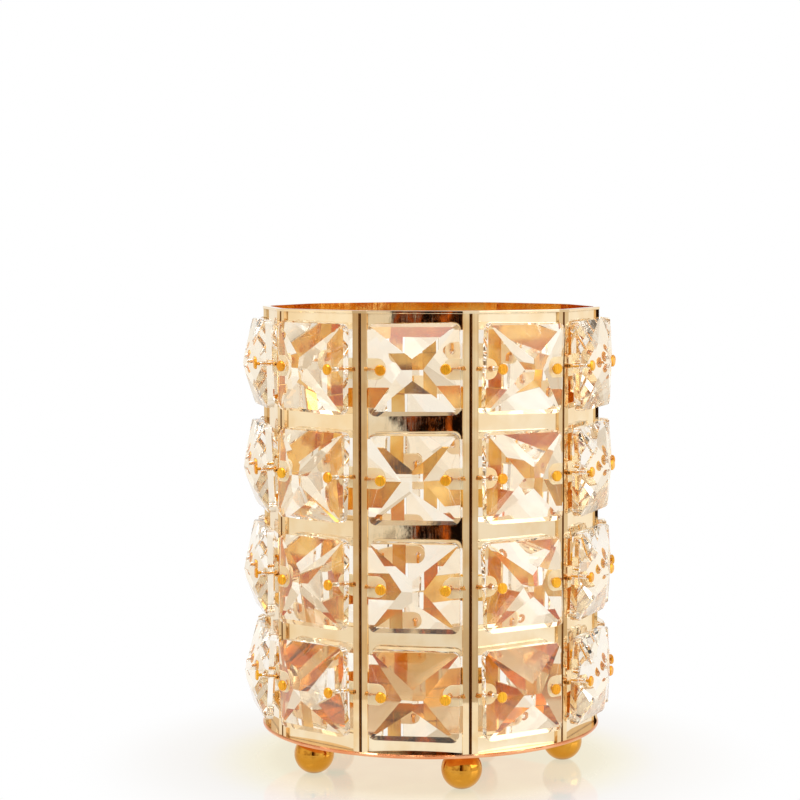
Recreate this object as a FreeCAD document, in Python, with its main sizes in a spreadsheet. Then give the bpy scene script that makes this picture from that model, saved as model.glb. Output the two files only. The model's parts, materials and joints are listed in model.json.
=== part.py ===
import FreeCAD
import Part
import Sketcher
import math
import os

Vector = FreeCAD.Vector

# Driving sizes in millimetres, except the counts and the small set angles
SIZES = {
    # Counts
    "columns": 10,
    "rows": 4,
    "feet": 5,
    # Crystals, which set the size of the frame
    "crystal_side": 23.4,
    "corner_round": 2.0,
    "girdle": 1.9,
    "crown": 4.6,
    "blade_rise": 0.7,
    "crystal_gap": 0.9,
    "crystal_side_gap": 0.37,
    "row_space": 4.5,
    "window_lap": 1.7,
    # Gold frame
    "sheet_gauge": 0.8,
    "post_width": 4.0,
    "groove_width": 0.8,
    "groove_depth": 0.4,
    "bottom_band": 5.4,
    "rim_band": 4.8,
    "lip_height": 0.7,
    "lip_reach": 0.15,
    "ear_height": 5.4,
    "ear_round_share": 0.45,
    "ear_margin": 1.9,
    # Head-pins
    "pin_inset": 3.4,
    "pin_wire": 0.8,
    "pin_play": 0.2,
    "ear_play": 0.4,
    "pin_head": 2.8,
    "pin_head_depth": 0.7,
    "pin_head_edge": 0.3,
    "pin_seat_gap": 0.06,
    "pin_bend": 0.6,
    "pin_leg": 1.5,
    "pin_back_gap": 0.2,
    # Base plate
    "plate_ledge": 0.4,
    "plate_gauge": 1.0,
    "plate_edge": 0.3,
    # Ball feet and their screws
    "ball_radius": 5.4,
    "ball_seat_share": 0.41,
    "ball_rest_share": 0.28,
    "foot_inset": 9.5,
    "screw_shank": 1.45,
    "screw_play": 0.05,
    "plate_play": 0.25,
    "screw_reach_share": 0.93,
    "tap_spare_share": 0.15,
    "screw_head": 2.7,
    "screw_head_depth": 1.4,
    "screw_head_edge": 0.5,
    "slot_width": 0.7,
    "slot_length": 3.0,
    "slot_depth": 0.7,
    # Hand-set differences between crystals, in degrees
    "hand_turn": 1.2,
    "hand_lean": 3.0,
}

doc = FreeCAD.newDocument("brush_holder")
sheet = doc.addObject("Spreadsheet::Sheet", "dims")
for row, (name, size) in enumerate(SIZES.items(), start=1):
    sheet.set(f"A{row}", name)
    sheet.set(f"B{row}", str(size))
    sheet.setAlias(f"B{row}", name)
doc.recompute()

# Sizes that follow from the driving ones
HALF_TURN = "(180 / dims.columns)"
CRYSTAL_HALF = "(dims.crystal_side / 2)"
PANEL_HALF = f"({CRYSTAL_HALF} + dims.crystal_side_gap)"
CORNER = f"(({PANEL_HALF} + dims.post_width / 2 / cos({HALF_TURN})) / sin({HALF_TURN}))"
PANEL = f"({CORNER} * cos({HALF_TURN}))"
NARROW = f"({CORNER} - dims.post_width / 2 * tan({HALF_TURN}))"
POST_FACE = f"({NARROW} + dims.sheet_gauge)"
ROW_PITCH = "(dims.crystal_side + dims.row_space)"
WINDOW = "(dims.crystal_side - 2 * dims.window_lap)"
ROWS_SPAN = f"((dims.rows - 1) * {ROW_PITCH})"
BALL_TOP = "(dims.ball_radius * sqrt(1 - dims.ball_seat_share ^ 2))"
BALL_LOW = "(dims.ball_radius * sqrt(1 - dims.ball_rest_share ^ 2))"
BALL_SEAT = "(dims.ball_radius * dims.ball_seat_share)"
BALL_REST = "(dims.ball_radius * dims.ball_rest_share)"
SCREW_REACH = "(dims.ball_radius * dims.screw_reach_share)"
TAP_SPARE = "(dims.ball_radius * dims.tap_spare_share)"
FOOT_CIRCLE = f"({POST_FACE} - dims.foot_inset)"
PLATE_RADIUS = f"({POST_FACE} + dims.plate_ledge)"
PLATE_LOW = f"({BALL_TOP} + {BALL_LOW})"
FRAME_LOW = f"({PLATE_LOW} + dims.plate_gauge)"
DIVIDER = f"({ROW_PITCH} - {WINDOW})"
RIM_LOW = f"(dims.bottom_band + {ROWS_SPAN} + {WINDOW})"
POST_HEIGHT = f"({RIM_LOW} + dims.rim_band - dims.lip_height)"
ROW_ONE = f"(dims.bottom_band + {WINDOW} / 2)"
EAR_FRONT = f"({PANEL} + dims.sheet_gauge)"
CRYSTAL_BACK = f"({EAR_FRONT} + dims.crystal_gap)"
GIRDLE_FRONT = f"({CRYSTAL_BACK} + dims.girdle)"
MAIN_RISE = "(dims.crown + dims.blade_rise)"
PIN_OUT = f"({CRYSTAL_HALF} - dims.pin_inset)"
PIN_SEAT = (
    f"({GIRDLE_FRONT} + {MAIN_RISE} * (1 - ({PIN_OUT} - dims.pin_head / 2) / {CRYSTAL_HALF})"
    " + dims.pin_seat_gap)"
)
LEG_LINE = f"({PANEL} - dims.pin_back_gap - dims.pin_wire / 2)"


def worth(expression):
    """Number that an expression on the size sheet stands for."""
    return float(sheet.evalExpression(expression))


def bind(item, **expressions):
    """Ties properties of an object to the size sheet."""
    for prop, expression in expressions.items():
        item.setExpression(prop.replace("__", "."), expression)
    return item


def datum(body, role):
    """Origin plane or axis of a body, found by its role."""
    return next(item for item in body.Origin.OriginFeatures if item.Role == role)


def new_sketch(body, name, role, lift=None, turn=None):
    """Empty sketch on an origin plane, lifted along its normal or turned about one of its axes."""
    sketch = body.newObject("Sketcher::SketchObject", name)
    sketch.AttachmentSupport = [(datum(body, role), "")]
    sketch.MapMode = "FlatFace"
    if turn:
        axis, angle = turn
        sketch.AttachmentOffset = FreeCAD.Placement(Vector(), FreeCAD.Rotation(axis, worth(angle)))
        bind(sketch, AttachmentOffset__Rotation__Angle=angle)
    if lift:
        bind(sketch, AttachmentOffset__Base__z=lift)
    return sketch


def pin_point(sketch, curve, end, spot):
    """Holds one end of a curve at a spot given by two expressions."""
    for expression, word, axis in zip(spot, ("DistanceX", "DistanceY"), (-2, -1)):
        if expression == "0":
            sketch.addConstraint(Sketcher.Constraint("PointOnObject", curve, end, axis))
            continue
        place = sketch.addConstraint(
            Sketcher.Constraint(word, -1, 1, curve, end, worth(expression))
        )
        sketch.setExpression(f"Constraints[{place}]", expression)


def draw_outline(sketch, spots, closed=True):
    """Straight-sided outline through spots given as pairs of expressions."""
    points = [Vector(worth(x), worth(y), 0) for x, y in spots]
    count = len(points) if closed else len(points) - 1
    first = sketch.GeometryCount
    for k in range(count):
        sketch.addGeometry(Part.LineSegment(points[k], points[(k + 1) % len(points)]), False)
    for k in range(count if closed else count - 1):
        following = first + (k + 1) % count
        sketch.addConstraint(Sketcher.Constraint("Coincident", first + k, 2, following, 1))
    for k in range(count):
        pin_point(sketch, first + k, 1, spots[k])
    if not closed:
        pin_point(sketch, first + count - 1, 2, spots[-1])
    return sketch


def draw_circle(sketch, spot, radius):
    """Circle with its centre and radius given by expressions."""
    centre = Vector(worth(spot[0]), worth(spot[1]), 0)
    curve = sketch.addGeometry(Part.Circle(centre, Vector(0, 0, 1), worth(radius)), False)
    pin_point(sketch, curve, 3, spot)
    place = sketch.addConstraint(Sketcher.Constraint("Radius", curve, worth(radius)))
    sketch.setExpression(f"Constraints[{place}]", radius)
    return sketch


def draw_arc(sketch, centre, radius, angles, start, end, hold):
    """Arc that joins two curve ends, its centre held across by one expression or on the upright axis."""
    middle = Vector(worth(centre[0]), worth(centre[1]), 0)
    circle = Part.Circle(middle, Vector(0, 0, 1), worth(radius))
    low, high = (math.radians(angle) for angle in angles)
    arc = sketch.addGeometry(Part.ArcOfCircle(circle, low, high), False)
    sketch.addConstraint(Sketcher.Constraint("Coincident", *start, arc, 1))
    sketch.addConstraint(Sketcher.Constraint("Coincident", *end, arc, 2))
    if hold == "OnAxis":
        sketch.addConstraint(Sketcher.Constraint("PointOnObject", arc, 3, -2))
        return sketch
    place = sketch.addConstraint(Sketcher.Constraint(hold, -1, 1, arc, 3, middle.x))
    sketch.setExpression(f"Constraints[{place}]", centre[0])
    return sketch


def new_body(label):
    return doc.addObject("PartDesign::Body", label)


def pad(body, sketch, name, length):
    feature = body.newObject("PartDesign::Pad", name)
    feature.Profile = sketch
    return bind(feature, Length=length)


def cut_through(body, sketch, name):
    """Cut right through the body, both ways from the sketch."""
    feature = body.newObject("PartDesign::Pocket", name)
    feature.Profile = sketch
    feature.Type = "ThroughAll"
    feature.Midplane = True
    return feature


def revolve(body, sketch, name, axis):
    feature = body.newObject("PartDesign::Revolution", name)
    feature.Profile = sketch
    feature.ReferenceAxis = (datum(body, axis), [""])
    feature.Angle = 360
    return feature


def repeat_round(body, feature, name, axis, count):
    """Copies a feature evenly round an axis of its body."""
    pattern = body.newObject("PartDesign::PolarPattern", name)
    pattern.Originals = [feature]
    pattern.Axis = (datum(body, axis), [""])
    pattern.Angle = 360
    bind(pattern, Occurrences=count)
    body.Tip = pattern
    return pattern


def repeat_up(body, feature, name, count, length):
    """Copies a feature upward in equal steps."""
    pattern = body.newObject("PartDesign::LinearPattern", name)
    pattern.Originals = [feature]
    pattern.Direction = (datum(body, "Z_Axis"), [""])
    bind(pattern, Occurrences=count, Length=length)
    body.Tip = pattern
    return pattern


def placed(lift, turn, lean="0", roll="0"):
    """Expression for a place up the axis and round it, with a lean and a roll of its own."""
    return (
        f"create(<<placement>>; create(<<vector>>; 0; 0; {lift});"
        f" create(<<rotation>>; {turn}; {lean}; {roll}))"
    )


def clone(label, pattern, place):
    """Body that repeats a pattern body at a place of its own."""
    body = new_body(label)
    base = doc.addObject("PartDesign::FeatureBase", f"{label}_shape")
    base.BaseFeature = pattern
    body.Group = [base]
    body.Tip = base
    return bind(body, Placement=place)


def group(label, pattern, places):
    """One sub-part made of the same small piece at many places."""
    links = []
    for k, place in enumerate(places, start=1):
        link = doc.addObject("App::Link", f"{label}_{k}")
        link.LinkedObject = pattern
        links.append(bind(link, Placement=place))
    whole = doc.addObject("Part::Compound", label)
    whole.Links = links
    return whole


def many_sided(name, panel, narrow, low, height):
    """Solid with a wide side for each column and a narrow side for each post."""
    prisms = []
    for side, reach, turn in (("wide", panel, "0"), ("narrow", narrow, HALF_TURN)):
        prism = doc.addObject("Part::Prism", f"{name}_{side}")
        bind(prism, Polygon="dims.columns", Circumradius=f"{reach} / cos({HALF_TURN})")
        # A prism corner lies on its own X axis, and the first post is at the front
        bind(prism, Height=height, Placement=placed(low, f"{turn} - 90"))
        prisms.append(prism)
    solid = doc.addObject("Part::MultiCommon", name)
    solid.Shapes = prisms
    return solid


def ring(name, low, height, spread="0"):
    """Many-sided sheet ring, spread outward from the band line."""
    outer = many_sided(f"{name}_outer", f"({PANEL} + {spread})", f"({NARROW} + {spread})", low, height)
    inner = many_sided(
        f"{name}_inner", f"({PANEL} - dims.sheet_gauge)", f"({NARROW} - dims.sheet_gauge)", low, height
    )
    cut = doc.addObject("Part::Cut", name)
    cut.Base = outer
    cut.Tool = inner
    return cut


sub_parts = []

# Bottom band, divider bands and rim band
sub_parts.append(ring("bottom_band", FRAME_LOW, "dims.bottom_band"))
for k in range(1, SIZES["rows"]):
    low = f"{FRAME_LOW} + dims.bottom_band + {WINDOW} + {k - 1} * {ROW_PITCH}"
    sub_parts.append(ring(f"divider_band_{k}", low, DIVIDER))
rim_wall = ring("rim_wall", f"{FRAME_LOW} + {RIM_LOW}", "dims.rim_band")
rim_lip = ring(
    "rim_lip", f"{FRAME_LOW} + {POST_HEIGHT}", "dims.lip_height", "(dims.sheet_gauge + dims.lip_reach)"
)
rim = doc.addObject("Part::MultiFuse", "rim_band")
rim.Shapes = [rim_wall, rim_lip]
rim.Refine = True
sub_parts.append(rim)

# Post: a grooved strip with a pair of pin ears for each row
post = new_body("post_pattern")
edge = "dims.post_width / 2"
groove = "dims.groove_width / 2"
strip_outline = draw_outline(
    new_sketch(post, "strip_outline", "XY_Plane"),
    [
        (NARROW, f"-{edge}"),
        (POST_FACE, f"-{edge}"),
        (POST_FACE, f"-{groove}"),
        (f"{POST_FACE} - dims.groove_depth", "0"),
        (POST_FACE, groove),
        (POST_FACE, edge),
        (NARROW, edge),
    ],
)
strip = pad(post, strip_outline, "strip", POST_HEIGHT)


def along_panel(reach, out):
    """Spot beside a post, from its reach along the normal of the next panel and its distance off centre."""
    x = f"({reach} * cos({HALF_TURN}) + {out} * sin({HALF_TURN}))"
    y = f"({reach} * sin({HALF_TURN}) - {out} * cos({HALF_TURN}))"
    return x, y


# Each ear starts inside its half of the strip, bends back along the panel and has a round tip
ear_end = f"({PIN_OUT} - dims.ear_margin)"
ear_root = f"(({edge} + {groove}) / 2)"
ear_spots = [
    along_panel(EAR_FRONT, ear_end),
    (POST_FACE, f"({edge} + dims.sheet_gauge * tan({HALF_TURN} / 2))"),
    (POST_FACE, ear_root),
    (NARROW, ear_root),
    (NARROW, edge),
    along_panel(PANEL, ear_end),
]
ear_outline = new_sketch(post, "ear_outline", "XY_Plane", lift=f"{ROW_ONE} - dims.ear_height / 2")
for side in ("", "-"):
    draw_outline(ear_outline, [(x, f"{side}{y}") for x, y in ear_spots])
ears = pad(post, ear_outline, "ears", "dims.ear_height")
ear_rows = repeat_up(post, ears, "ear_rows", "dims.rows", ROWS_SPAN)
doc.recompute()
half_turn = math.radians(worth(HALF_TURN))


def at_ear_corner(line):
    """Whether an edge runs through the sheet at the free end of an ear."""
    middle = line.CenterOfMass
    out = middle.x * math.sin(half_turn) - abs(middle.y) * math.cos(half_turn)
    level = abs(line.tangentAt(line.FirstParameter).z) < math.cos(math.radians(45))
    return level and math.isclose(out, worth(ear_end), rel_tol=1e-6)


ear_rounding = post.newObject("PartDesign::Fillet", "ear_rounding")
ear_rounding.Base = (
    ear_rows,
    [f"Edge{k}" for k, line in enumerate(ear_rows.Shape.Edges, start=1) if at_ear_corner(line)],
)
bind(ear_rounding, Radius="dims.ear_height * dims.ear_round_share")
for side, name in ((1, "left"), (-1, "right")):
    hole_sketch = new_sketch(
        post,
        f"{name}_hole_outline",
        "YZ_Plane",
        turn=(Vector(0, 1, 0), f"{side} * {HALF_TURN}"),
    )
    draw_circle(hole_sketch, (f"-{side} * {PIN_OUT}", ROW_ONE), "dims.pin_wire / 2 + dims.ear_play")
    hole = cut_through(post, hole_sketch, f"{name}_hole")
    repeat_up(post, hole, f"{name}_hole_rows", "dims.rows", ROWS_SPAN)
for k in range(SIZES["columns"]):
    turn = f"({k} * 360 / dims.columns - 90)"
    sub_parts.append(clone(f"post_{k + 1:02d}", post, placed(FRAME_LOW, turn)))

# Crystal: round-cornered plate, four broad front facets and four narrow blades from the corners
crystal = new_body("crystal_pattern")
square_outline = draw_outline(
    new_sketch(crystal, "square_outline", "YZ_Plane", lift=CRYSTAL_BACK),
    [
        (CRYSTAL_HALF, CRYSTAL_HALF),
        (f"-{CRYSTAL_HALF}", CRYSTAL_HALF),
        (f"-{CRYSTAL_HALF}", f"-{CRYSTAL_HALF}"),
        (CRYSTAL_HALF, f"-{CRYSTAL_HALF}"),
    ],
)
square = pad(crystal, square_outline, "square", f"dims.girdle + {MAIN_RISE}")
doc.recompute()
long_edges = [
    f"Edge{k}"
    for k, line in enumerate(square.Shape.Edges, start=1)
    if abs(line.tangentAt(line.FirstParameter).x) > math.cos(math.radians(45))
]
rounding = crystal.newObject("PartDesign::Fillet", "rounding")
rounding.Base = (square, long_edges)
bind(rounding, Radius="dims.corner_round")
facets = (
    ("broad", MAIN_RISE, CRYSTAL_HALF, "0"),
    ("blade", "dims.crown", f"({CRYSTAL_HALF} * sqrt(2))", "45"),
)
for name, rise, reach, turn in facets:
    sketch = new_sketch(crystal, f"{name}_outline", "XZ_Plane", turn=(Vector(1, 0, 0), turn))
    waste = f"({GIRDLE_FRONT} + 2 * {MAIN_RISE})"
    draw_outline(
        sketch,
        [
            (f"{GIRDLE_FRONT} + {rise}", "0"),
            (f"{GIRDLE_FRONT} - {rise}", f"2 * {reach}"),
            (waste, f"2 * {reach}"),
            (waste, "0"),
        ],
    )
    facet = cut_through(crystal, sketch, f"{name}_facet")
    repeat_round(crystal, facet, f"{name}_facets", "X_Axis", "4")
bore_sketch = new_sketch(crystal, "bore_outline", "YZ_Plane")
for side in ("", "-"):
    draw_circle(bore_sketch, (f"{side}{PIN_OUT}", "0"), "dims.pin_wire / 2 + dims.pin_play")
cut_through(crystal, bore_sketch, "bores")

# Head-pin on its own axis: round flat head, wire through crystal and ear, leg bent over behind
pin = new_body("pin_pattern")
wire_outline = draw_circle(
    new_sketch(pin, "wire_outline", "YZ_Plane", lift=PIN_SEAT), ("0", "0"), "dims.pin_wire / 2"
)
wire_line = new_sketch(pin, "wire_line", "XZ_Plane")
bend_start = f"({LEG_LINE} + dims.pin_bend)"
leg_end = "-(dims.pin_bend + dims.pin_leg)"
draw_outline(wire_line, [(PIN_SEAT, "0"), (bend_start, "0")], closed=False)
draw_outline(wire_line, [(LEG_LINE, "-dims.pin_bend"), (LEG_LINE, leg_end)], closed=False)
draw_arc(wire_line, (bend_start, "-dims.pin_bend"), "dims.pin_bend", (90, 180), (0, 2), (1, 1), "DistanceX")
wire = pin.newObject("PartDesign::AdditivePipe", "wire")
wire.Profile = wire_outline
wire.Spine = (wire_line, [])
head_top = f"({PIN_SEAT} + dims.pin_head_depth)"
head_outline = draw_outline(
    new_sketch(pin, "head_outline", "XZ_Plane"),
    [
        (PIN_SEAT, "0"),
        (PIN_SEAT, "dims.pin_head / 2"),
        (f"{head_top} - dims.pin_head_edge", "dims.pin_head / 2"),
        (head_top, "dims.pin_head / 2 - dims.pin_head_edge"),
        (head_top, "0"),
    ],
)
revolve(pin, head_outline, "head", "X_Axis")

# Crystals, each turned and leaned a little by hand, with their pins
pin_places = []
for row in range(SIZES["rows"]):
    for column in range(SIZES["columns"]):
        label = f"crystal_row{row + 1}_col{column + 1:02d}"
        number = row * SIZES["columns"] + column
        turn = f"(({column} + 1 / 2) * 360 / dims.columns - 90)"
        lean = f"(dims.hand_lean * sin({number} * 137))"
        roll = f"(dims.hand_turn * cos({number} * 222))"
        lift = f"({FRAME_LOW} + {ROW_ONE} + {row} * {ROW_PITCH} + {GIRDLE_FRONT} * sin({lean}))"
        sub_parts.append(clone(label, crystal, placed(lift, turn, lean, roll)))
        for side, half_roll in (("", "0"), ("-", "180")):
            spot = f"create(<<vector>>; 0; {side}{PIN_OUT}; 0)"
            tilt = f"create(<<rotation>>; 0; 0; {half_roll})"
            pin_places.append(f"{label}.Placement * create(<<placement>>; {spot}; {tilt})")
sub_parts.append(group("crystal_pins", pin, pin_places))

# Base plate with a screw hole over each foot
plate = new_body("base_plate")
rim_in = f"({PLATE_RADIUS} - dims.plate_edge)"
plate_top = f"({PLATE_LOW} + dims.plate_gauge)"
plate_section = draw_outline(
    new_sketch(plate, "plate_section", "XZ_Plane"),
    [
        ("0", PLATE_LOW),
        (rim_in, PLATE_LOW),
        (PLATE_RADIUS, f"{PLATE_LOW} + dims.plate_edge"),
        (PLATE_RADIUS, f"{plate_top} - dims.plate_edge"),
        (rim_in, plate_top),
        ("0", plate_top),
    ],
)
revolve(plate, plate_section, "disc", "Z_Axis")
screw_hole = draw_circle(
    new_sketch(plate, "screw_hole_outline", "XY_Plane"),
    ("0", f"-{FOOT_CIRCLE}"),
    "dims.screw_shank + dims.plate_play",
)
repeat_round(plate, cut_through(plate, screw_hole, "screw_hole"), "screw_holes", "Z_Axis", "dims.feet")
sub_parts.append(plate)

# Ball foot with a flat rest below, a flat seat above and a tapped hole for its screw
foot = new_body("foot_pattern")
tap = "(dims.screw_shank + dims.screw_play)"
tap_end = f"({PLATE_LOW} - {SCREW_REACH} - {TAP_SPARE})"
foot_section = draw_outline(
    new_sketch(foot, "foot_section", "XZ_Plane"),
    [
        (BALL_SEAT, PLATE_LOW),
        (tap, PLATE_LOW),
        (tap, tap_end),
        ("0", tap_end),
        ("0", "0"),
        (BALL_REST, "0"),
    ],
    closed=False,
)
low_angle = -math.degrees(math.acos(worth("dims.ball_rest_share")))
top_angle = math.degrees(math.acos(worth("dims.ball_seat_share")))
draw_arc(foot_section, ("0", BALL_LOW), "dims.ball_radius", (low_angle, top_angle), (4, 2), (0, 1), "OnAxis")
revolve(foot, foot_section, "ball", "Z_Axis")
foot_spot = f"create(<<vector>>; 0; -{FOOT_CIRCLE}; 0)"
foot_shift = f"create(<<placement>>; {foot_spot}; create(<<rotation>>; 0; 0; 0))"
foot_turns = [placed("0", f"({k} * 360 / dims.feet)") for k in range(SIZES["feet"])]
foot_places = [f"{turn} * {foot_shift}" for turn in foot_turns]
sub_parts.append(group("ball_feet", foot, foot_places))

# Foot screw: low round head with a cross slot, shank down into the ball
screw = new_body("screw_pattern")
head_top = f"({plate_top} + dims.screw_head_depth)"
screw_section = draw_outline(
    new_sketch(screw, "screw_section", "XZ_Plane"),
    [
        ("0", f"{PLATE_LOW} - {SCREW_REACH}"),
        ("dims.screw_shank", f"{PLATE_LOW} - {SCREW_REACH}"),
        ("dims.screw_shank", plate_top),
        ("dims.screw_head", plate_top),
        ("dims.screw_head", f"{head_top} - dims.screw_head_edge"),
        ("dims.screw_head - dims.screw_head_edge", head_top),
        ("0", head_top),
    ],
)
revolve(screw, screw_section, "screw", "Z_Axis")
near = "(dims.slot_width / 2)"
far = "(dims.slot_length / 2)"
cross = [(far, near), (near, near), (near, far)]
quarters = ((1, 1), (-1, 1), (-1, -1), (1, -1))
cross_spots = []
for sx, sy in quarters:
    spots = [(f"{sx} * {x}", f"{sy} * {y}") for x, y in cross]
    cross_spots += spots if sx == sy else spots[::-1]
slot_outline = draw_outline(new_sketch(screw, "slot_outline", "XY_Plane", lift=head_top), cross_spots)
slot = screw.newObject("PartDesign::Pocket", "slot")
slot.Profile = slot_outline
bind(slot, Length="dims.slot_depth")
sub_parts.append(group("foot_screws", screw, foot_places))

doc.recompute()

# Every piece is checked before it is written
for item in doc.Objects:
    if {"Invalid", "Error"} & set(item.State):
        raise RuntimeError(f"{item.Name} is in state {item.State}")
os.makedirs("parts", exist_ok=True)
for item in sub_parts:
    shape = item.Shape
    if shape.isNull() or not shape.isValid():
        raise RuntimeError(f"{item.Label} has no sound shape")
    shape.exportStep(f"parts/{item.Label}.step")
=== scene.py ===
import json
import math

import bmesh
import bpy
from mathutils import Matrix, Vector

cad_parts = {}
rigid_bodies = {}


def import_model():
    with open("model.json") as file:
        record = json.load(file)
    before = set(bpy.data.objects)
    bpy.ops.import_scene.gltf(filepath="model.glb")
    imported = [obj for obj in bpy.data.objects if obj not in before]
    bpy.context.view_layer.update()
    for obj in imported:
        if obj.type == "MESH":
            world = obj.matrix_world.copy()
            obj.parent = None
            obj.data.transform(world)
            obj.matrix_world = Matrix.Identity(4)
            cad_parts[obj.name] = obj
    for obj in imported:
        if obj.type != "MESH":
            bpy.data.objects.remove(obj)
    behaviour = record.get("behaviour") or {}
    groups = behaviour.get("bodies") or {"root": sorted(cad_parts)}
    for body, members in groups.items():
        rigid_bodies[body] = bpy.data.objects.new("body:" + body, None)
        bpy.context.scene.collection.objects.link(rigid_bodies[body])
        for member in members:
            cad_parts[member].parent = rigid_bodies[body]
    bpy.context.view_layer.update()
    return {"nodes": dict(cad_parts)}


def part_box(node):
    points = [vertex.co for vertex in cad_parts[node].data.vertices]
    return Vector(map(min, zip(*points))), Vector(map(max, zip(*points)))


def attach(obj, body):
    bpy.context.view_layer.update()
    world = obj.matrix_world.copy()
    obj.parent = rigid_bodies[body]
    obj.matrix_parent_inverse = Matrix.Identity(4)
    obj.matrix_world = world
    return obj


# Only the holder, its floor and its lights are in the scene
for leftover in list(bpy.data.objects):
    bpy.data.objects.remove(leftover)

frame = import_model()
nodes = frame["nodes"]

MM = 0.001
FULL_TURN = 2 * math.pi

# Layout of the holder
COLUMNS = 10
ROWS = 4
# Half the turn from one post to the next
HALF_COLUMN = math.pi / COLUMNS
# Direction of the first post, in degrees
FIRST_POST = -90
# Half the width of a post without its ears
HALF_STRIP = 2.05 * MM


# Helpers for node materials

class Shade:
    """Node tree of one material or world, with short calls to add and join nodes."""

    # Numbers of the colour sockets of a mix node
    FIRST = 6
    SECOND = 7
    MIXED = 2

    def __init__(self, owner):
        owner.use_nodes = True
        self.owner = owner
        self.tree = owner.node_tree
        self.tree.nodes.clear()

    def add(self, kind, settings=None, **inputs):
        """New node; inputs are values or the output sockets of other nodes, and _0 is the first input."""
        item = self.tree.nodes.new(kind)
        for key, value in (settings or {}).items():
            setattr(item, key, value)
        for key, value in inputs.items():
            socket = item.inputs[int(key[1:]) if key[0] == "_" else key.replace("_", " ")]
            if isinstance(value, bpy.types.NodeSocket):
                self.tree.links.new(value, socket)
            else:
                socket.default_value = value
        return item

    def place(self):
        """Position on the piece, in metres."""
        return self.add("ShaderNodeTexCoord").outputs["Object"]

    def steps(self, value, stops):
        """Colour that changes at stops along a value."""
        scale = self.add("ShaderNodeValToRGB", Fac=value)
        items = scale.color_ramp.elements
        while len(items) < len(stops):
            # Any place will do, it is set below
            items.new(0.5)
        for item, (spot, colour) in zip(items, stops):
            item.position = spot
            item.color = (*colour, 1)
        return scale.outputs[0]

    def noise(self, size, detail=2.0, stretch=(1, 1, 1), spread=0.5):
        """Noise whose features are about one size across, in metres."""
        mapped = self.add("ShaderNodeMapping", Vector=self.place(), Scale=stretch)
        field = self.add(
            "ShaderNodeTexNoise", Vector=mapped.outputs[0], Scale=1 / size, Detail=detail, Roughness=spread
        )
        return field.outputs["Fac"]

    def ramp(self, value, low, high, start=0.0, end=1.0):
        """Value eased from one range to another."""
        eased = self.add(
            "ShaderNodeMapRange",
            {"interpolation_type": "SMOOTHSTEP"},
            Value=value,
            From_Min=low,
            From_Max=high,
            To_Min=start,
            To_Max=end,
        )
        return eased.outputs[0]

    def blend(self, share, first, second, how="MIX"):
        """Colour between two colours, or another mix of them."""
        mix = self.add("ShaderNodeMix", {"data_type": "RGBA", "blend_type": how}, _0=share)
        for index, value in ((self.FIRST, first), (self.SECOND, second)):
            if isinstance(value, bpy.types.NodeSocket):
                self.tree.links.new(value, mix.inputs[index])
            else:
                mix.inputs[index].default_value = (*value, 1)
        return mix.outputs[self.MIXED]

    def maths(self, operation, first, second=0.0):
        """Result of one operation on two values."""
        return self.add("ShaderNodeMath", {"operation": operation}, _0=first, _1=second).outputs[0]

    def bump(self, height, depth, under=None):
        """Surface relief of a given depth in metres."""
        extra = {"Normal": under} if under else {}
        return self.add("ShaderNodeBump", Height=height, Strength=1.0, Distance=depth, **extra).outputs[0]

    def close(self, shader, kind="ShaderNodeOutputMaterial"):
        """Joins the last shader to the output; gives the material or world."""
        self.add(kind, Surface=shader.outputs[0])
        return self.owner


def new_shade(name):
    """Empty node tree of a new material."""
    return Shade(bpy.data.materials.new(name))


# Materials

# Most of a noise lies in this range
MIDDLE = (0.3, 0.7)

# Marks on plated metal: sizes, ranges of the noises that make them, and the painted shade and grime in its
# creases
TONE_PATCH = 9 * MM
TONE_RANGE = (0.35, 0.65)
CREASE_REACH = 1.2 * MM
CREASE_SAMPLES = 4
CREASE_RANGE = (0.15, 0.75)
SPECK_SIZE = 0.5 * MM
SPECK_SHARE = (0.55, 1.0)
# Dark brown of the creases: painted shade, with grime
CREASE_GRIME_AND_SHADE = (0.2, 0.075, 0.015)
HAZE_SIZE = 2.2 * MM
HAZE_SPREAD = 0.65
RUB_SIZE = 0.35 * MM
RUB_STRETCH = (1, 1, 0.06)
WEAR_RANGE = (0.12, 0.42)
WAVE_SIZE = 11 * MM
RIDGE_SIZE = 0.9 * MM
RIDGE_STRETCH = (1, 1, 0.015)
GRAIN_SIZE = 0.8 * MM
GRAIN_DEPTH = 0.0006 * MM

# Crystal glass
GLASS_IOR = 1.54
GLASS_PALE = (1.0, 0.965, 0.9)
GLASS_WARM = (1.0, 0.935, 0.83)
WARMTH_PATCH = 14 * MM
WIPE_SIZE = 1.6 * MM
WIPE_STRETCH = (1, 1, 0.25)
WIPE_SPREAD = 0.7
WIPE_RANGE = (0.55, 0.8)
WIPE_ROUGH = (0.0, 0.05)
UNEVEN_SIZE = 5 * MM
UNEVEN_DEPTH = 0.004 * MM

# Groove of the posts, painted dark brown as shade
GROOVE_SHADE_DARK = (0.14, 0.05, 0.012)
GROOVE_SHADE_LIGHT = (0.3, 0.13, 0.035)
SEAM_PATCH = 0.7 * MM
SEAM_GRAIN = 0.3 * MM
SEAM_ROUGH = (0.3, 0.55)

# Screws
STEEL_DARK = (0.42, 0.42, 0.43)
STEEL_LIGHT = (0.66, 0.65, 0.63)
STEEL_ROUGH = (0.25, 0.45)
MARK_SIZE = 0.25 * MM
MARK_STRETCH = (1, 1, 0.2)
MARK_DEPTH = 0.01 * MM


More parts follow.
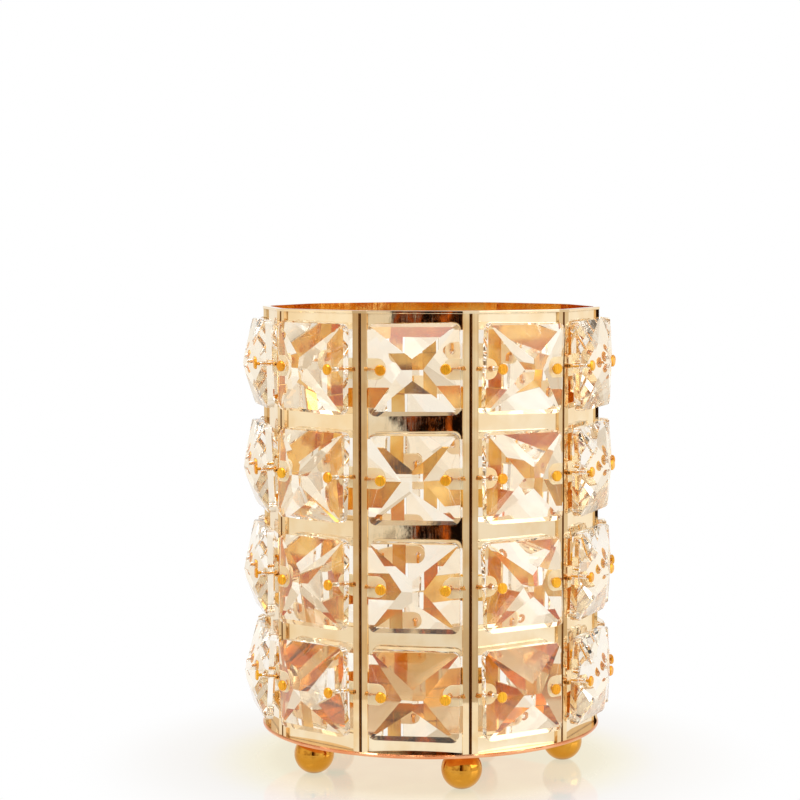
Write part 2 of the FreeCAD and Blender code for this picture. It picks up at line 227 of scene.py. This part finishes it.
def plated(name, pale, deep, gloss=(0.015, 0.06), wave=0.03, drawn=0.0, crease_darkening=0.8, metal=1.0):
    """Mirror plating in two close tones, with polishing haze and creases darkened by painted shade and grime.

    gloss is the roughness where it is least and most worn. wave is the depth of a slow wave in the sheet, and
    drawn the depth of upright drawn lines, in millimetres. crease_darkening is the share of painted shade and
    grime in a crease.
    """
    shade = new_shade(name)
    tone = shade.blend(shade.ramp(shade.noise(TONE_PATCH, detail=3), *TONE_RANGE), pale, deep)
    # Painted shade: ambient occlusion darkens the creases, with grime specks
    hollow = shade.add("ShaderNodeAmbientOcclusion", {"samples": CREASE_SAMPLES}, Distance=CREASE_REACH)
    grime_and_shade = shade.ramp(hollow.outputs["AO"], *CREASE_RANGE, crease_darkening, 0.0)
    speck = shade.ramp(shade.noise(SPECK_SIZE, detail=4), *MIDDLE, *SPECK_SHARE)
    colour = shade.blend(shade.maths("MULTIPLY", grime_and_shade, speck), tone, CREASE_GRIME_AND_SHADE)
    haze = shade.noise(HAZE_SIZE, detail=4, spread=HAZE_SPREAD)
    lines = shade.noise(RUB_SIZE, detail=3, stretch=RUB_STRETCH)
    worn = shade.maths("MULTIPLY", haze, lines)
    rough = shade.ramp(worn, *WEAR_RANGE, *gloss)
    sheet = shade.bump(shade.noise(WAVE_SIZE, detail=1), wave * MM)
    ridges = shade.bump(shade.noise(RIDGE_SIZE, detail=1, stretch=RIDGE_STRETCH), drawn * MM, sheet)
    fine = shade.bump(shade.noise(GRAIN_SIZE, detail=2), GRAIN_DEPTH, ridges)
    return shade.close(
        shade.add("ShaderNodeBsdfPrincipled", Base_Color=colour, Metallic=metal, Roughness=rough, Normal=fine)
    )


def crystal_glass():
    """Clear cut crystal: a trace of warmth, faint wipe marks and moulded unevenness on the facets."""
    shade = new_shade("clear_crystal")
    warm = shade.blend(shade.ramp(shade.noise(WARMTH_PATCH, detail=1), *MIDDLE), GLASS_PALE, GLASS_WARM)
    wiped = shade.noise(WIPE_SIZE, detail=5, stretch=WIPE_STRETCH, spread=WIPE_SPREAD)
    rough = shade.ramp(wiped, *WIPE_RANGE, *WIPE_ROUGH)
    uneven = shade.bump(shade.noise(UNEVEN_SIZE, detail=1), UNEVEN_DEPTH)
    return shade.close(
        shade.add(
            "ShaderNodeBsdfPrincipled",
            Base_Color=warm,
            Roughness=rough,
            IOR=GLASS_IOR,
            Transmission_Weight=1.0,
            Normal=uneven,
        )
    )


def seam_shade_metal():
    """Dull brown metal down the groove of each post: painted shade that deepens the dark of the groove."""
    shade = new_shade("gold_seam_shade")
    tone = shade.blend(shade.noise(SEAM_PATCH, detail=4), GROOVE_SHADE_DARK, GROOVE_SHADE_LIGHT)
    rough = shade.ramp(shade.noise(SEAM_GRAIN, detail=3), *MIDDLE, *SEAM_ROUGH)
    return shade.close(
        shade.add("ShaderNodeBsdfPrincipled", Base_Color=tone, Metallic=1.0, Roughness=rough)
    )


def screw_steel():
    """Plain steel with turning marks on each screw."""
    shade = new_shade("screw_steel")
    marks = shade.noise(MARK_SIZE, detail=3, stretch=MARK_STRETCH)
    tone = shade.blend(marks, STEEL_DARK, STEEL_LIGHT)
    rough = shade.ramp(marks, *MIDDLE, *STEEL_ROUGH)
    relief = shade.bump(marks, MARK_DEPTH)
    return shade.close(
        shade.add("ShaderNodeBsdfPrincipled", Base_Color=tone, Metallic=1.0, Roughness=rough, Normal=relief)
    )


band_gold = plated("gold_band", (0.95, 0.8, 0.56), (0.91, 0.71, 0.44), wave=0.05)
post_gold = plated("gold_post", (0.94, 0.74, 0.46), (0.87, 0.6, 0.3), drawn=0.012)
# Paler, less metallic copy of the post gold on the ears: painted light, so they read bright behind the
# crystals
ear_gold_lit = plated(
    "gold_ear_lit", (0.99, 0.87, 0.6), (0.97, 0.8, 0.49), gloss=(0.3, 0.4), wave=0.0, crease_darkening=0.05, metal=0.25
)
# Deeper, darker copy of the gold on faces that look at the axis: painted shade inside the cup
inner_gold_shaded = plated("gold_inside_shaded", (0.89, 0.58, 0.18), (0.81, 0.44, 0.08), gloss=(0.05, 0.16))
pin_gold = plated(
    "pin_gold", (0.92, 0.47, 0.02), (0.84, 0.33, 0.01), gloss=(0.22, 0.36), wave=0.0, crease_darkening=0.2, metal=0.45
)
tie_gold = plated(
    "tie_gold", (0.86, 0.46, 0.12), (0.74, 0.31, 0.05), gloss=(0.16, 0.3), wave=0.0, metal=0.8
)
plate_gold = plated("plate_gold", (0.9, 0.66, 0.36), (0.87, 0.61, 0.31), gloss=(0.05, 0.14), crease_darkening=0.95)
# Darker, redder copy of the plate gold for its edge and underside: painted shade
plate_edge_shade = plated("plate_edge", (0.9, 0.44, 0.23), (0.8, 0.31, 0.14), gloss=(0.1, 0.22), crease_darkening=0.3)
foot_gold = plated("foot_gold", (0.72, 0.35, 0.05), (0.64, 0.28, 0.03), gloss=(0.05, 0.12), wave=0.01)
seam = seam_shade_metal()
glass = crystal_glass()
steel = screw_steel()


# Dress of the carried-over nodes

# Rounding of sharp edges: its width, and the angle in degrees past which an edge is sharp
BAND_ROUND = 0.1 * MM
BAND_SHARP = 12
CRYSTAL_ROUND = 0.14 * MM
CRYSTAL_SHARP = 30
ROUND_STEPS = 2
WELD_GAP = 0.001 * MM
# Cosines past which a face looks at the axis of the cup, or up
INWARD = 0.8
UPWARD = 0.9
# Faces of the groove lie between these depths and lean between these shares
GROOVE_TOP = 0.05 * MM
GROOVE_FLOOR = 0.39 * MM
GROOVE_LEAST = 0.3
GROOVE_MOST = 0.95
# Material slots of a post
SEAM_SLOT = 1
SHADED_INSIDE_SLOT = 2
EAR_SLOT = 3


def dress(node, material):
    """Gives a carried-over node one material on all its faces."""
    mesh = nodes[node].data
    mesh.materials.clear()
    mesh.materials.append(material)
    return mesh


def faces_axis(polygon):
    """Whether a face looks inward, at the axis of the cup."""
    level = Vector((polygon.center.x, polygon.center.y, 0))
    return polygon.normal.dot(level) < -INWARD * level.length


def ease_edges(node, width, angle):
    """Fine rounding on the sharp edges of a carried-over node."""
    weld = nodes[node].modifiers.new("weld", "WELD")
    weld.merge_threshold = WELD_GAP
    rounding = nodes[node].modifiers.new("rounding", "BEVEL")
    rounding.width = width
    rounding.segments = ROUND_STEPS
    rounding.limit_method = "ANGLE"
    rounding.angle_limit = math.radians(angle)


for name in ["bottom_band", "rim_band"] + [f"divider_band_{k}" for k in range(1, ROWS)]:
    ease_edges(name, BAND_ROUND, BAND_SHARP)
    mesh = dress(name, band_gold)
    mesh.materials.append(inner_gold_shaded)
    # Faces that look at the axis take the darker inside gold as painted shade
    for polygon in mesh.polygons:
        polygon.material_index = int(faces_axis(polygon))
for k in range(COLUMNS):
    mesh = dress(f"post_{k + 1:02d}", post_gold)
    mesh.materials.append(seam)
    mesh.materials.append(inner_gold_shaded)
    mesh.materials.append(ear_gold_lit)
    turn = math.radians(k * 360 / COLUMNS + FIRST_POST)
    outward = Vector((math.cos(turn), math.sin(turn), 0))
    across = Vector((-math.sin(turn), math.cos(turn), 0))
    face = max(vertex.co.dot(outward) for vertex in mesh.vertices)
    for polygon in mesh.polygons:
        below = face - polygon.center.dot(outward)
        sideways = abs(polygon.normal.dot(across))
        # Ears take the paler gold as painted light
        if abs(polygon.center.dot(across)) > HALF_STRIP:
            polygon.material_index = EAR_SLOT
        # Faces of the groove take the dark brown painted shade
        elif GROOVE_TOP < below < GROOVE_FLOOR and GROOVE_LEAST < sideways < GROOVE_MOST:
            polygon.material_index = SEAM_SLOT
        # Faces that look at the axis take the darker inside gold as painted shade
        elif faces_axis(polygon):
            polygon.material_index = SHADED_INSIDE_SLOT
for row in range(1, ROWS + 1):
    for column in range(1, COLUMNS + 1):
        name = f"crystal_row{row}_col{column:02d}"
        ease_edges(name, CRYSTAL_ROUND, CRYSTAL_SHARP)
        dress(name, glass)
        # Clear crystal lets the lamps through
        nodes[name].visible_shadow = False
dress("crystal_pins", pin_gold)
mesh = dress("base_plate", plate_gold)
mesh.materials.append(plate_edge_shade)
# Edge and underside of the plate take the darker copy as painted shade
for polygon in mesh.polygons:
    polygon.material_index = int(polygon.normal.z < UPWARD)
dress("ball_feet", foot_gold)
dress("foot_screws", steel)


# Wire ends: each runs from its pin along the ear and is wound up where the ear leaves the post

# The wire: its radius, its gap to the ear, and the pitch of its winding
TIE_WIRE = 0.14 * MM
TIE_CLEAR = 0.03 * MM
TIE_PITCH = 0.32 * MM
TIE_STEPS = 12
# The winding: its ends, from the middle of the column, and its radius behind and beside the crystal
COIL_FROM = 10.7 * MM
COIL_TO = 12.9 * MM
COIL_SMALL = 0.24 * MM
COIL_LARGE = 0.42 * MM
COIL_OPENS = 0.4 * MM
CRYSTAL_EDGE = 11.7 * MM
POST_EDGE = 12.2 * MM
# Start of the wire beside its pin, and the least height of a pin head above the ear
PIN_SIDE = 0.5 * MM
HEAD_LEVEL = 3.5 * MM
MERGE_GAP = 0.0001 * MM


def column_axes(column):
    """Level direction along the face of a column, and its outward direction."""
    turn = (2 * column - 1) * HALF_COLUMN
    return Vector((math.cos(turn), math.sin(turn), 0)), Vector((math.sin(turn), -math.cos(turn), 0))


def ear_front():
    """Distance from the axis of the cup to the front of the ears."""
    along, outward = column_axes(1)
    ear = [v.co for v in nodes["post_01"].data.vertices if abs(v.co.dot(along)) < COIL_FROM]
    return max(point.dot(outward) for point in ear)


def pin_spots(front):
    """Place of each pin head along its column face and in height, by column, row and side."""
    rows = []
    for row in range(1, ROWS + 1):
        low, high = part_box(f"crystal_row{row}_col01")
        rows.append((low[2] + high[2]) / 2)
    heads = {}
    for vertex in nodes["crystal_pins"].data.vertices:
        turn = math.atan2(vertex.co.x, -vertex.co.y) % FULL_TURN
        column = int(turn / (2 * HALF_COLUMN)) + 1
        along, outward = column_axes(column)
        if vertex.co.dot(outward) > front + HEAD_LEVEL:
            row = min(range(ROWS), key=lambda k: abs(rows[k] - vertex.co.z))
            side = 1 if vertex.co.dot(along) > 0 else -1
            heads.setdefault((column, row, side), []).append((vertex.co.dot(along), vertex.co.z))
    return {
        key: [(min(values) + max(values)) / 2 for values in zip(*spots)]
        for key, spots in sorted(heads.items())
    }


def tie_path(out, height, side, column, front):
    """Points of one wire end: straight along the ear, then wound."""
    along, outward = column_axes(column)
    rest = front + TIE_CLEAR + TIE_WIRE
    places = [(abs(out) + PIN_SIDE, rest, height), (COIL_FROM - TIE_PITCH, rest, height)]
    count = round((COIL_TO - COIL_FROM) / TIE_PITCH * TIE_STEPS)
    for k in range(count + 1):
        reach = COIL_FROM + k * TIE_PITCH / TIE_STEPS
        opened = min(max((reach - CRYSTAL_EDGE) / COIL_OPENS, 0), 1)
        radius = COIL_SMALL + (COIL_LARGE - COIL_SMALL) * opened
        fall = max(reach - POST_EDGE, 0) * math.tan(HALF_COLUMN)
        angle = FULL_TURN * k / TIE_STEPS
        level = rest + radius * (1 - math.cos(angle)) - fall
        places.append((reach, level, height + radius * math.sin(angle)))
    return [along * (side * reach) + outward * level + Vector((0, 0, z)) for reach, level, z in places]


def wire_ties():
    """One piece with the wire ends of all the pins."""
    wire = bpy.data.curves.new("wire", "CURVE")
    wire.dimensions = "3D"
    wire.bevel_depth = TIE_WIRE
    wire.bevel_resolution = 1
    wire.use_fill_caps = True
    front = ear_front()
    for (column, _, side), (out, height) in pin_spots(front).items():
        points = tie_path(out, height, side, column, front)
        line = wire.splines.new("POLY")
        line.points.add(len(points) - 1)
        for item, point in zip(line.points, points):
            item.co = (*point, 1)
    holder = bpy.data.objects.new("wire", wire)
    mesh = bpy.data.meshes.new_from_object(holder)
    bpy.data.objects.remove(holder)
    work = bmesh.new()
    work.from_mesh(mesh)
    bmesh.ops.remove_doubles(work, verts=work.verts, dist=MERGE_GAP)
    bmesh.ops.recalc_face_normals(work, faces=work.faces)
    for face in work.faces:
        face.smooth = True
    work.to_mesh(mesh)
    work.free()
    mesh.materials.clear()
    mesh.materials.append(tie_gold)
    ties = bpy.data.objects.new("wire_ties", mesh)
    bpy.context.scene.collection.objects.link(ties)
    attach(ties, "root")


wire_ties()


# Floor: a glossy pale top that fades to the white of the background

FLOOR_RADIUS = 0.16
FLOOR_SIDES = 96
FLOOR_RINGS = (0.05, 0.2, 0.5, 1.0)
FLOOR_DROP = 0.01 * MM
# The top itself, which takes the shadow
TOP_DEEP = (0.94, 0.91, 0.8)
TOP_PALE = (0.96, 0.94, 0.86)
TOP_PATCH = 60 * MM
TOP_WIPE = 8 * MM
TOP_ROUGH = (0.03, 0.07)
TOP_IOR = 1.45
# The background over it: cream near the holder, and its share there and farther out
CREAM = (0.985, 0.96, 0.76)
WHITE = (1.0, 1.0, 1.0)
PAPER_SHARE = (0.83, 1.0)
# Distances from the middle between which the cream and the reflections fade
CREAM_FADES = (0.042, 0.066)
MIRROR_FADES = (0.052, 0.1)


def floor_top():
    """Material of the floor: shadow and gloss near the holder, white farther out."""
    shade = new_shade("floor_top")
    cloud = shade.blend(shade.noise(TOP_PATCH, detail=3), TOP_DEEP, TOP_PALE)
    rough = shade.ramp(shade.noise(TOP_WIPE, detail=4), *MIDDLE, *TOP_ROUGH)
    under = shade.add("ShaderNodeBsdfDiffuse", Color=cloud)
    far = shade.add("ShaderNodeVectorMath", {"operation": "LENGTH"}, _0=shade.place()).outputs["Value"]
    paper = shade.blend(shade.ramp(far, *CREAM_FADES), CREAM, WHITE)
    glow = shade.add("ShaderNodeEmission", Color=paper, Strength=1.0)
    ray = shade.add("ShaderNodeLightPath").outputs
    seen = shade.maths("MAXIMUM", ray["Is Camera Ray"], ray["Is Glossy Ray"])
    seen = shade.maths("MAXIMUM", seen, ray["Is Transmission Ray"])
    away = shade.maths("MULTIPLY", shade.ramp(far, *CREAM_FADES, *PAPER_SHARE), seen)
    body = shade.add("ShaderNodeMixShader", _0=away, _1=under.outputs[0], _2=glow.outputs[0])
    mirror = shade.add("ShaderNodeBsdfGlossy", Color=(*WHITE, 1), Roughness=rough)
    grazing = shade.add("ShaderNodeFresnel", IOR=TOP_IOR).outputs[0]
    share = shade.maths("MULTIPLY", grazing, shade.ramp(far, *MIRROR_FADES, 1.0, 0.0))
    mix = shade.add("ShaderNodeMixShader", _0=share, _1=body.outputs[0], _2=mirror.outputs[0])
    return shade.close(mix)


def floor_disc(name, radius, sides):
    """Flat disc made of rings."""
    work = bmesh.new()
    rings = [
        [
            work.verts.new((share * radius * math.cos(t), share * radius * math.sin(t), 0))
            for t in (FULL_TURN * k / sides for k in range(sides))
        ]
        for share in FLOOR_RINGS
    ]
    work.faces.new(rings[0])
    for inner, outer in zip(rings, rings[1:]):
        for k in range(sides):
            work.faces.new((inner[k], outer[k], outer[(k + 1) % sides], inner[(k + 1) % sides]))
    mesh = bpy.data.meshes.new(name)
    work.to_mesh(mesh)
    work.free()
    disc = bpy.data.objects.new(name, mesh)
    bpy.context.scene.collection.objects.link(disc)
    return disc


floor = floor_disc("floor", FLOOR_RADIUS, FLOOR_SIDES)
# Just under the feet
floor.location.z = -FLOOR_DROP
floor.data.materials.append(floor_top())


# Light: a white room, darker and warmer on the side where the viewer stands, and two soft lamps

# Dark side: the turn from its left edge to its right edge, how its edges fade, and its heights
DARK_FROM = math.radians(-24.1)
DARK_TO = math.radians(4)
DARK_START = (DARK_FROM - 0.002, DARK_FROM + 0.001)
DARK_END = (DARK_TO - 0.12, DARK_TO + 0.12)
DARK_LOW = (-0.17, -0.145)
DARK_HIGH = (0.6, 0.85)
# Colour across the dark side, by share of the turn from its left edge to its right edge
DARK_SIDE = [
    (0.0, (0.006, 0.003, 0.002)),
    (0.0085, (0.006, 0.003, 0.002)),
    (0.01, (0.6, 0.12, 0.014)),
    (0.013, (0.5, 0.09, 0.01)),
    (0.0145, (0.004, 0.002, 0.001)),
    (0.039, (0.004, 0.002, 0.001)),
    (0.041, (0.65, 0.15, 0.018)),
    (0.047, (0.55, 0.11, 0.012)),
    (0.05, (0.004, 0.002, 0.001)),
    (0.09, (0.006, 0.003, 0.002)),
    (0.1, (0.5, 0.1, 0.012)),
    (0.12, (0.01, 0.004, 0.002)),
    (0.25, (0.03, 0.012, 0.006)),
    (0.5, (0.25, 0.12, 0.05)),
    (1.0, (0.9, 0.8, 0.68)),
]
# Wall colour by eased share of a full turn, from the back past the left side, the front and the right side
WALLS = [
    (0.0, (1.0, 0.955, 0.87)),
    (0.25, (1.08, 1.02, 0.92)),
    (0.4, (0.85, 0.82, 0.78)),
    (0.55, (0.8, 0.76, 0.7)),
    (0.63, (1.25, 1.25, 1.25)),
    (0.71, (1.16, 1.16, 1.16)),
    (0.8, (1.06, 1.0, 0.9)),
    (1.0, (1.0, 0.955, 0.87)),
]
# Soft clouds of shade on the walls, fewer at the back
CLOUD_SCALE = 2.6
CLOUDS = [(0.34, (0.42, 0.33, 0.23)), (0.56, WHITE)]
CLOUD_SIDE = (-0.3, 0.4)
CLOUD_SHARE = (1.0, 0.45)
# Dim ceiling over the front
CEILING = (0.2, 0.17, 0.14)
CEILING_HEIGHT = (0.35, 0.65)
CEILING_SHARE = 0.85
CEILING_SIDE = (-0.35, 0.1)
# Warm upper part of the back wall
LOFT = (0.6, 0.47, 0.32)
LOFT_HEIGHT = (0.08, 0.35)
LOFT_SHARE = 0.7
LOFT_SIDE = (0.0, 0.4)
# Direction of the white background from the holder, and where it ends, as cosines from that direction
BACKDROP = (0.221, 0.973, -0.07)
BACKDROP_EDGE = (0.955, 0.985)

# Lamps: name, place, size and power; they face the middle of the holder
LAMP_AIM = Vector((0, 0, 0.06))
LAMPS = [
    ("lamp_above", (-0.25, -0.2, 0.8), 0.5, 4.0),
    ("lamp_right", (0.7, -0.35, 0.45), 0.7, 3.0),
]


def room():
    """White room of uneven brightness, with a dark and amber side behind the viewer."""
    world = bpy.data.worlds.new("room")
    bpy.context.scene.world = world
    shade = Shade(world)
    way = shade.add("ShaderNodeTexCoord").outputs["Generated"]
    parts = shade.add("ShaderNodeSeparateXYZ", _0=way).outputs
    turn = shade.maths("ARCTAN2", parts["X"], shade.maths("MULTIPLY", parts["Y"], -1.0))
    along = shade.add("ShaderNodeMapRange", Value=turn, From_Min=DARK_FROM, From_Max=DARK_TO).outputs[0]
    dark_side = shade.steps(along, DARK_SIDE)
    beside = shade.maths("MULTIPLY", shade.ramp(turn, *DARK_START), shade.ramp(turn, *DARK_END, 1.0, 0.0))
    above = shade.ramp(parts["Z"], *DARK_LOW)
    below = shade.maths("MULTIPLY", shade.ramp(parts["Z"], *DARK_HIGH, 1.0, 0.0), above)
    walls = shade.steps(shade.ramp(turn, -math.pi, math.pi), WALLS)
    cloud = shade.add("ShaderNodeTexNoise", Vector=way, Scale=CLOUD_SCALE, Detail=1.0).outputs["Fac"]
    cover = shade.steps(cloud, CLOUDS)
    cloudy = shade.ramp(parts["Y"], *CLOUD_SIDE, *CLOUD_SHARE)
    bright = shade.blend(cloudy, walls, cover, "MULTIPLY")
    ahead = shade.ramp(parts["Y"], *CEILING_SIDE, 1.0, 0.0)
    ceiling = shade.maths("MULTIPLY", shade.ramp(parts["Z"], *CEILING_HEIGHT, 0.0, CEILING_SHARE), ahead)
    shaded = shade.blend(ceiling, bright, CEILING)
    high = shade.ramp(parts["Z"], *LOFT_HEIGHT)
    behind = shade.maths("MULTIPLY", shade.ramp(parts["Y"], *LOFT_SIDE), high)
    shaded = shade.blend(shade.maths("MULTIPLY", behind, LOFT_SHARE), shaded, LOFT)
    colour = shade.blend(shade.maths("MULTIPLY", beside, below), shaded, dark_side)
    lit = shade.add("ShaderNodeBackground", Color=colour, Strength=1.0)
    white = shade.add("ShaderNodeBackground", Color=(*WHITE, 1), Strength=1.0)
    # Metal and glass show the white background too, where it stands behind the holder
    toward = shade.add("ShaderNodeVectorMath", {"operation": "DOT_PRODUCT"}, _0=way, _1=BACKDROP)
    backdrop = shade.ramp(toward.outputs["Value"], *BACKDROP_EDGE)
    ray = shade.add("ShaderNodeLightPath").outputs
    bounced = shade.maths("MAXIMUM", ray["Is Glossy Ray"], ray["Is Transmission Ray"])
    seen = shade.maths("MAXIMUM", ray["Is Camera Ray"], shade.maths("MULTIPLY", bounced, backdrop))
    mix = shade.add("ShaderNodeMixShader", _0=seen, _1=lit.outputs[0], _2=white.outputs[0])
    shade.close(mix, "ShaderNodeOutputWorld")


def soft_lamp(name, spot, size, power):
    """Square lamp that faces the middle of the holder."""
    lamp = bpy.data.lights.new(name, "AREA")
    lamp.size = size
    lamp.energy = power
    holder = bpy.data.objects.new(name, lamp)
    holder.location = spot
    aim = LAMP_AIM - Vector(spot)
    holder.rotation_euler = aim.to_track_quat("-Z", "Y").to_euler()
    bpy.context.scene.collection.objects.link(holder)


room()
for lamp in LAMPS:
    soft_lamp(*lamp)


# Camera at the photograph's viewing angle

TURN = math.radians(-12.8)
PITCH = math.radians(4.07)
STAND_OFF = 0.5887
EYE_HEIGHT = 0.1411
SENSOR = 36
LENS = 96.6
CLOSEST = 0.01
IMAGE_WIDTH = 800
# How far the axis of the holder stands from the middle of the picture, as a share of its width
AXIS_OFFSET = 30.75 / IMAGE_WIDTH

camera = bpy.data.cameras.new("camera")
camera.sensor_width = SENSOR
camera.lens = LENS
camera.shift_x = -AXIS_OFFSET
camera.clip_start = CLOSEST
view = bpy.data.objects.new("camera", camera)
view.location = (STAND_OFF * math.sin(TURN), -STAND_OFF * math.cos(TURN), EYE_HEIGHT)
view.rotation_euler = (math.pi / 2 - PITCH, 0, TURN)
bpy.context.scene.collection.objects.link(view)
bpy.context.scene.camera = view

bpy.context.scene.view_settings.view_transform = "Standard"
cycles = bpy.context.scene.cycles
cycles.max_bounces = 24
cycles.glossy_bounces = 14
cycles.transmission_bounces = 20
